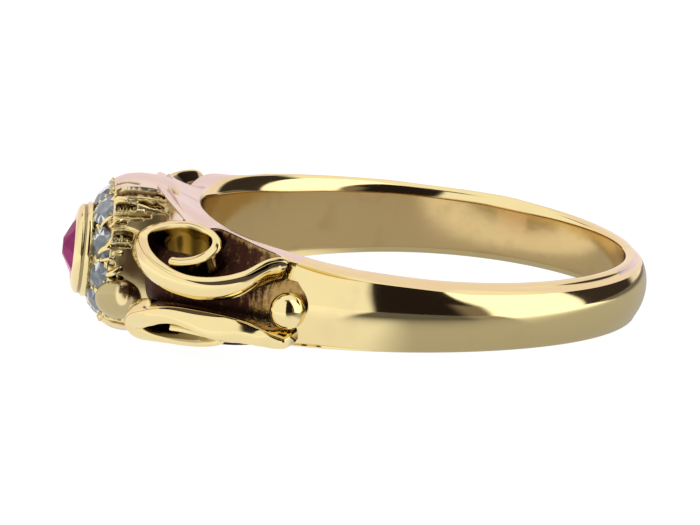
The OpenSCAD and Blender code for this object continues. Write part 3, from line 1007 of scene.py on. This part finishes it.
# Grains at each gap between two stones: along the finger, round the band, height, radius
GAP_GRAINS = ((2.50, 2.32, 12.24, 0.10), (2.14, 2.04, 12.64, 0.08), (2.36, 2.18, 12.42, 0.08))
SEAM_GRAINS = 34


def grains():
    """Small beads raised between the stones and along the collet's seam"""
    bm = bmesh.new()
    rng = random.Random(11)

    def grain(centre, radii):
        matrix = Matrix.Translation(centre) @ Matrix.Diagonal((*radii, 1))
        bmesh.ops.create_icosphere(bm, subdivisions=2, radius=1, matrix=matrix)

    for i in range(DIAMONDS):
        for x, y, h, r in GAP_GRAINS:
            turn = math.tau * (i + 0.5) / DIAMONDS + rng.uniform(-0.03, 0.03)
            grain(on_head(x * math.cos(turn), y * math.sin(turn), h), (r, r * rng.uniform(0.8, 1.1), r))
    for i in range(SEAM_GRAINS):
        turn = math.tau * (i + rng.uniform(-0.3, 0.3)) / SEAM_GRAINS
        r = rng.uniform(0.05, 0.085)
        h = 12.64 + rng.uniform(-0.05, 0.05)
        grain(on_head(1.90 * math.cos(turn), 1.86 * math.sin(turn), h), (r * 1.2, r, r))
    finish(bm, "grains", "polished")


def bosses():
    """Smooth mass with a small pit between the coils and the gallery, and the small ball above it"""
    bm = bmesh.new()
    painted_light = bm.verts.layers.float.new("line")
    centre = gallery_point(-119, 11.60, -0.16)
    outward = (centre - on_head(0, 0, 11.4)).normalized()
    pit, crown = gallery_point(-104, 11.10, 0.40), gallery_point(-108, 11.50, 0.36)
    for v in ball(bm, centre, (0.98, 0.92, 0.60), 72, outward.to_track_quat("Z", "X").to_matrix()):
        sunk = ease((0.17 - (v.co - pit).length) / 0.12)
        off = v.co - crown
        raised = ease((1.05 - math.hypot(math.hypot(off.x, off.y) / 0.3, off.z / 0.52)) / 0.35)
        # Painted highlight on the raised bump; the pit is set below zero
        v[painted_light] = raised - 0.6 * sunk
        v.co += outward * (0.07 * raised - 0.12 * sunk)
    # The small ball is set below zero, away from the painted highlight
    for v in ball(bm, gallery_point(-53, 9.98, 0.16), (0.24, 0.22, 0.22), 24):
        v[painted_light] = -1.5
    finish(bm, "bosses", "cast", twin=True)


# Radius and height round the collet, from its foot to the ruby, and the points in its grooves, which are
# painted dark as shade
COLLET = (
    (1.20, 12.0), (1.84, 12.0), (1.86, 12.62), (1.80, 12.67), (1.785, 12.75), (1.825, 12.82), (1.88, 12.87),
    (1.895, 12.95), (1.885, 13.03), (1.86, 13.065), (1.80, 13.09), (1.77, 13.14), (1.78, 13.20),
    (1.80, 13.225), (1.775, 13.29), (1.71, 13.36), (1.61, 13.42), (1.50, 13.465), (1.39, 13.50),
    (1.31, 13.51), (1.27, 13.49), (1.26, 13.45), (1.25, 13.36), (1.10, 13.0), (1.20, 12.6),
)
COLLET_GROOVES = (3, 4, 10, 11, 12)


def collet():
    bm = bmesh.new()
    painted_light = bm.verts.layers.float.new("line")
    profile = [bm.verts.new((r, 0, h)) for r, h in COLLET]
    # Painted shade in the grooves
    for k in COLLET_GROOVES:
        profile[k][painted_light] = 0.65
    edges = [bm.edges.new(pair) for pair in zip(profile, profile[1:] + profile[:1])]
    bmesh.ops.spin(bm, geom=profile + edges, cent=(0, 0, 0), axis=(0, 0, 1), angle=math.tau, steps=96,
                   use_merge=True)
    weld(bm, bm.verts[:])
    bmesh.ops.transform(bm, matrix=ON_HEAD @ Matrix.Translation((-0.06, 0, 0)), verts=bm.verts[:])
    finish(bm, "ruby_collet", "scroll", sharp=60)


# Stones
def cut(bm, d, table, crown, pavilion, culet, matrix, seed):
    """A round cut: table, stars, kites, girdle facets and pavilion, as the skin round its corners"""
    r = d / 2
    rings = (
        (8, table * r, crown * d, 22.5), (8, (table * 0.42 + 0.58) * r, crown * d * 0.52, 0),
        (16, r, 0.02 * d, 11.25), (16, r, -0.02 * d, 11.25), (8, 0.45 * r, -pavilion * d * 0.6, 0),
        (8, culet * r, -pavilion * d, 22.5),
    )
    for count, radius, z, turn in rings:
        ring = matrix @ Matrix.Translation((0, 0, z)) @ Matrix.Rotation(math.radians(turn), 4, "Z")
        bmesh.ops.create_circle(bm, cap_ends=False, radius=radius, segments=count, matrix=ring)
    hull = bmesh.ops.convex_hull(bm, input=bm.verts[:])
    loose = {g for g in hull["geom_interior"] + hull["geom_unused"] if isinstance(g, bmesh.types.BMVert)}
    bmesh.ops.delete(bm, geom=list(loose), context="VERTS")
    bmesh.ops.delete(bm, geom=[e for e in bm.edges if not e.link_faces], context="EDGES")
    bmesh.ops.dissolve_limit(bm, angle_limit=math.radians(1), verts=bm.verts[:], edges=bm.edges[:])
    # Painted glints: some facets are set to be painted paler
    painted_glint = bm.faces.layers.float.new("painted_glint")
    rng = random.Random(seed)
    for f in bm.faces:
        f[painted_glint] = rng.choice((0.0, 0.0, 0.05, 0.12, 0.3, 0.8))


# Angles of the diamonds round the ruby, in degrees
DIAMOND_ANGLES = (0, 36, 74, 110, 145, 180, 215, 250, 286, 324)


def at_diamond(i):
    """Where diamond i sits: its middle, with Z along its axis"""
    q = math.radians(DIAMOND_ANGLES[i - 1])
    across, round_band, height = 2.27, 2.02, 12.37
    normal = math.atan2(math.sin(q) / round_band, math.cos(q) / across)
    return (Matrix.Translation((across * math.cos(q), round_band * math.sin(q), height))
            @ Matrix.Rotation(normal, 4, "Z") @ Matrix.Rotation(math.radians(46), 4, "Y"))


def stones(ruby, diamond):
    """The ruby and the diamonds, each as wide as asked"""
    bm = bmesh.new()
    cut(bm, ruby, 0.24, 0.23, 0.34, 0.1, ON_HEAD @ Matrix.Translation((0, 0, 13.3)), 3)
    finish(bm, "cut_ruby", "ruby", replaced="ruby", slot="ruby", smooth=False)
    for i in range(1, DIAMONDS + 1):
        bm = bmesh.new()
        cut(bm, diamond, 0.5, 0.15, 0.42, 0.12, ON_HEAD @ at_diamond(i), i)
        stone = f"diamond_{i:02d}"
        finish(bm, f"cut_{stone}", "diamond", replaced=stone, slot="diamond", smooth=False)


# Stage
# The studio as the metal sees it, panel by panel: azimuth from, to, lift from, to, soft edge, colour
PANELS = (
    (127, 181, -10, 72, 3, (1.70, 1.66, 1.56)),
    (-136, -38, -10, 46, 8, (0.98, 0.86, 0.86)),
    (72.5, 127, -10, 83, 2.5, (0.018, 0.012, 0.012)),
    (116, 128, -10, 28, 4, (0.22, 0.18, 0.15)),
    (26, 130, 73, 84, 5, (0.07, 0.05, 0.05)),
    (179, 190, -10, 45, 3, (0.04, 0.03, 0.03)),
    (-190, -138, -10, 45, 4, (0.04, 0.03, 0.03)),
    (-51, -41, 36, 52, 4, (0.16, 0.12, 0.11)),
)


# What shows between the panels, and the paper as the metal sees it beside the head and beside the band
OPEN = (1.08, 1.05, 1.0)
# Painted shade: the paper beside the band is darker in the metal, as the ring's shade on it
PAPER_BY_HEAD, PAPER_BY_BAND = (0.95, 0.93, 0.9), (0.42, 0.40, 0.37)


def studio_group():
    """Colour of the studio in a direction: soft boxes and the dark gaps between them"""
    tree, asked, out = new_group("Studio panels", {"Direction": (0, 0, 0)}, ("Colour",), "NodeSocketVector",
                                 "NodeSocketColor")
    x, y, z = node(tree, "ShaderNodeSeparateXYZ", {0: asked["Direction"]}).outputs
    degrees = 180 / math.pi
    angle = times(tree, math_node(tree, "ARCTAN2", times(tree, y, -1), times(tree, x, -1)), degrees)
    lift = times(tree, math_node(tree, "ARCSINE", z), degrees)
    mixed = OPEN
    for a0, a1, e0, e1, soft, colour in PANELS:
        mask = 1
        for value, low, high in ((angle, a0, a1), (lift, e0, e1)):
            mask = times(tree, mask, ramp(tree, value, low - soft, low + soft))
            mask = times(tree, mask, ramp(tree, value, high - soft, high + soft, 1, 0))
        mixed = mix_colour(tree, mask, mixed, colour)
    feed(tree, mixed, out["Colour"])
    return tree


def to_camera(tree, shown, in_metal):
    """One colour for the camera and another for what the metal mirrors"""
    return mix_colour(tree, node(tree, "ShaderNodeLightPath").outputs["Is Camera Ray"], in_metal, shown)


def sky(panels):
    """The studio all round, white to the camera"""
    world = bpy.data.worlds.new("Studio")
    bpy.context.scene.world = world
    world.use_nodes = True
    tree = world.node_tree
    studio = grouped(tree, panels, {"Direction": place_on(tree, "Generated")})["Colour"]
    back = tree.nodes["Background"].inputs
    feed(tree, to_camera(tree, (1, 1, 1), studio), back["Color"])
    feed(tree, 1, back["Strength"])


def floor(looks, panels):
    """Pale paper: white to the camera; in the metal it goes over into the panels round it"""
    material, tree = new_material("Pale paper")
    place = place_on(tree)
    x = node(tree, "ShaderNodeSeparateXYZ", {0: place}).outputs["X"]
    drawn = node(tree, "ShaderNodeVectorMath", {0: place, 1: (0.6, 1, 1)}, operation="MULTIPLY").outputs[0]
    away = node(tree, "ShaderNodeVectorMath", {0: drawn}, operation="LENGTH").outputs["Value"]
    studio = grouped(tree, panels, {"Direction": place})["Colour"]
    # Painted shade: the paper in the metal is darker beside the band than beside the head
    near = mix_colour(tree, ramp(tree, x, -0.0012, 0.0016, 1, 0), PAPER_BY_BAND, PAPER_BY_HEAD)
    seen = mix_colour(tree, ramp(tree, away, 0.011, 0.022), near, studio)
    shade(tree, Base_Color=(0.06, 0.06, 0.06, 1), Roughness=0.9, Emission_Strength=0.96,
          Emission_Color=to_camera(tree, looks.paper[:], seen))
    bm = bmesh.new()
    bmesh.ops.create_grid(bm, x_segments=1, y_segments=1, size=1.2)
    as_object(bm, "floor", material)


def soft_box(name, where, size, power):
    """A square light that looks at the ring"""
    light = bpy.data.lights.new(name, "AREA")
    light.shape = "RECTANGLE"
    light.size = light.size_y = size
    light.energy = power
    obj = linked(name, light)
    obj.location = where
    obj.rotation_euler = (-Vector(where)).to_track_quat("-Z", "Y").to_euler()
    obj.visible_glossy = False


# The photograph's view: width and focal length in pixels, then distance and shift in millimetres
PHOTO_W, FOCAL_PX, SENSOR = 700, 3745, 36
DISTANCE, SHIFT_RIGHT, SHIFT_UP = 150, -2.42, 0.08


def camera(view):
    """The photograph's view: where it stands is worked out from its height, turn and roll"""
    e, a, roll = view.height, view.turn, view.roll
    back = Vector((-math.sin(a) * math.cos(e), -math.cos(a) * math.cos(e), math.sin(e)))
    right = Vector((math.cos(a), -math.sin(a), 0))
    up = back.cross(right)
    right, up = math.cos(roll) * right - math.sin(roll) * up, math.sin(roll) * right + math.cos(roll) * up
    data = bpy.data.cameras.new("Camera")
    data.sensor_width = SENSOR
    data.lens = FOCAL_PX / PHOTO_W * SENSOR
    data.clip_start, data.clip_end = 0.01, 10
    obj = linked("Camera", data)
    eye = CENTRE + DISTANCE * back + SHIFT_RIGHT * right + SHIFT_UP * up
    obj.matrix_world = Matrix.Translation(eye * MM) @ Matrix((right, up, back)).transposed().to_4x4()
    bpy.context.scene.camera = obj


# Settings, steps and panel
COLOUR = {"subtype": "COLOR", "min": 0, "max": 1}
LENGTH = {"unit": "LENGTH", "min": 0}


class RingLooks(bpy.types.PropertyGroup):
    gold: FloatVectorProperty(name="Gold", description="Colour of the polished gold",
                              default=(0.86, 0.72, 0.38), **COLOUR)
    rose: FloatVectorProperty(name="Satin side", description="Colour of the ring's satin sides",
                              default=(0.80, 0.655, 0.585), **COLOUR)
    # Also the painted highlights on the carved ground's bars
    ground: FloatVectorProperty(name="Worn ground and painted highlights", description="Light parts of the carved ground",
                                default=(0.42, 0.27, 0.10), **COLOUR)
    # Also the painted shade in the gallery's cuts and windows
    tarnish: FloatVectorProperty(name="Tarnish", description="Darkened metal in the recesses",
                                 default=(0.055, 0.02, 0.014), **COLOUR)
    ruby: FloatVectorProperty(name="Ruby", description="Colour of the ruby",
                              default=(0.17, 0.001, 0.07), **COLOUR)
    diamond: FloatVectorProperty(name="Diamond", description="Tint of the diamonds",
                                 default=(0.075, 0.10, 0.13), **COLOUR)
    paper: FloatVectorProperty(name="Paper", description="Colour of the floor",
                               default=(1.0, 1.0, 1.0), **COLOUR)


class RingSizes(bpy.types.PropertyGroup):
    ruby: FloatProperty(name="Ruby", description="Width of the ruby", default=2.7 * MM, **LENGTH)
    diamond: FloatProperty(name="Diamonds", description="Width of each diamond", default=1.34 * MM, **LENGTH)
    bead: FloatProperty(name="Beads", description="Radius of the beads at the ends of the shoulders",
                        default=0.7 * MM, **LENGTH)


class RingView(bpy.types.PropertyGroup):
    height: FloatProperty(name="Height", description="Camera's angle above the floor",
                          default=math.radians(12.41022), subtype="ANGLE")
    turn: FloatProperty(name="Turn", description="Camera's angle round the ring",
                        default=math.radians(4.827853), subtype="ANGLE")
    roll: FloatProperty(name="Roll", description="Camera's roll", default=math.radians(1.412595),
                        subtype="ANGLE")


def in_mm(length):
    """A setting's length in ring millimetres, without the rounding of how it is stored"""
    return round(length / MM, 4)


class RING_OT_band(bpy.types.Operator):
    """Inner rail, polished band and carved ground of the shoulders"""
    bl_idname = "ring.band"
    bl_label = "Band and shoulders"

    def execute(self, context):
        make_materials(context.scene.ring_looks)
        finger_rail()
        polished_band()
        carved_ground()
        return {"FINISHED"}


class RING_OT_scrolls(bpy.types.Operator):
    """Four scrolls and the beads of the shoulders"""
    bl_idname = "ring.scrolls"
    bl_label = "Scrolls and beads"

    def execute(self, context):
        scrolls()
        beads(in_mm(context.scene.ring_sizes.bead))
        return {"FINISHED"}


class RING_OT_head(bpy.types.Operator):
    """Gallery, seats, claws, bosses and collet of the head"""
    bl_idname = "ring.head"
    bl_label = "Head"

    def execute(self, context):
        for make in (gallery, seats, claws, grains, bosses, collet):
            make()
        return {"FINISHED"}


class RING_OT_stones(bpy.types.Operator):
    """Ruby and diamonds with their cut"""
    bl_idname = "ring.stones"
    bl_label = "Stones"

    def execute(self, context):
        sizes = context.scene.ring_sizes
        stones(in_mm(sizes.ruby), in_mm(sizes.diamond))
        return {"FINISHED"}


class RING_OT_stage(bpy.types.Operator):
    """Floor, soft light and camera"""
    bl_idname = "ring.stage"
    bl_label = "Stage"

    def execute(self, context):
        panels = studio_group()
        sky(panels)
        floor(context.scene.ring_looks, panels)
        soft_box("Left box", (-0.30, -0.22, 0.20), 0.16, 0.6)
        soft_box("Right box", (0.34, -0.10, 0.22), 0.14, 0.5)
        camera(context.scene.ring_view)
        bpy.context.scene.view_settings.view_transform = "Standard"
        return {"FINISHED"}


STEPS = (RING_OT_band, RING_OT_scrolls, RING_OT_head, RING_OT_stones, RING_OT_stage)
SETTINGS = {"ring_looks": RingLooks, "ring_sizes": RingSizes, "ring_view": RingView}


class RING_PT_panel(bpy.types.Panel):
    bl_label = "Ring"
    bl_idname = "RING_PT_panel"
    bl_space_type = "VIEW_3D"
    bl_region_type = "UI"
    bl_category = "Ring"

    def draw(self, context):
        for group, kind in SETTINGS.items():
            for name in kind.__annotations__:
                self.layout.prop(getattr(context.scene, group), name)
        for step in STEPS:
            self.layout.operator(step.bl_idname)


CLASSES = (*SETTINGS.values(), *STEPS, RING_PT_panel)


def register():
    for item in CLASSES:
        bpy.utils.register_class(item)
    for name, kind in SETTINGS.items():
        setattr(bpy.types.Scene, name, PointerProperty(type=kind))


def unregister():
    for name in SETTINGS:
        delattr(bpy.types.Scene, name)
    for item in reversed(CLASSES):
        bpy.utils.unregister_class(item)


def main():
    register()
    for step in STEPS:
        group, name = step.bl_idname.split(".")
        getattr(getattr(bpy.ops, group), name)()


if __name__ == "__main__":
    main()
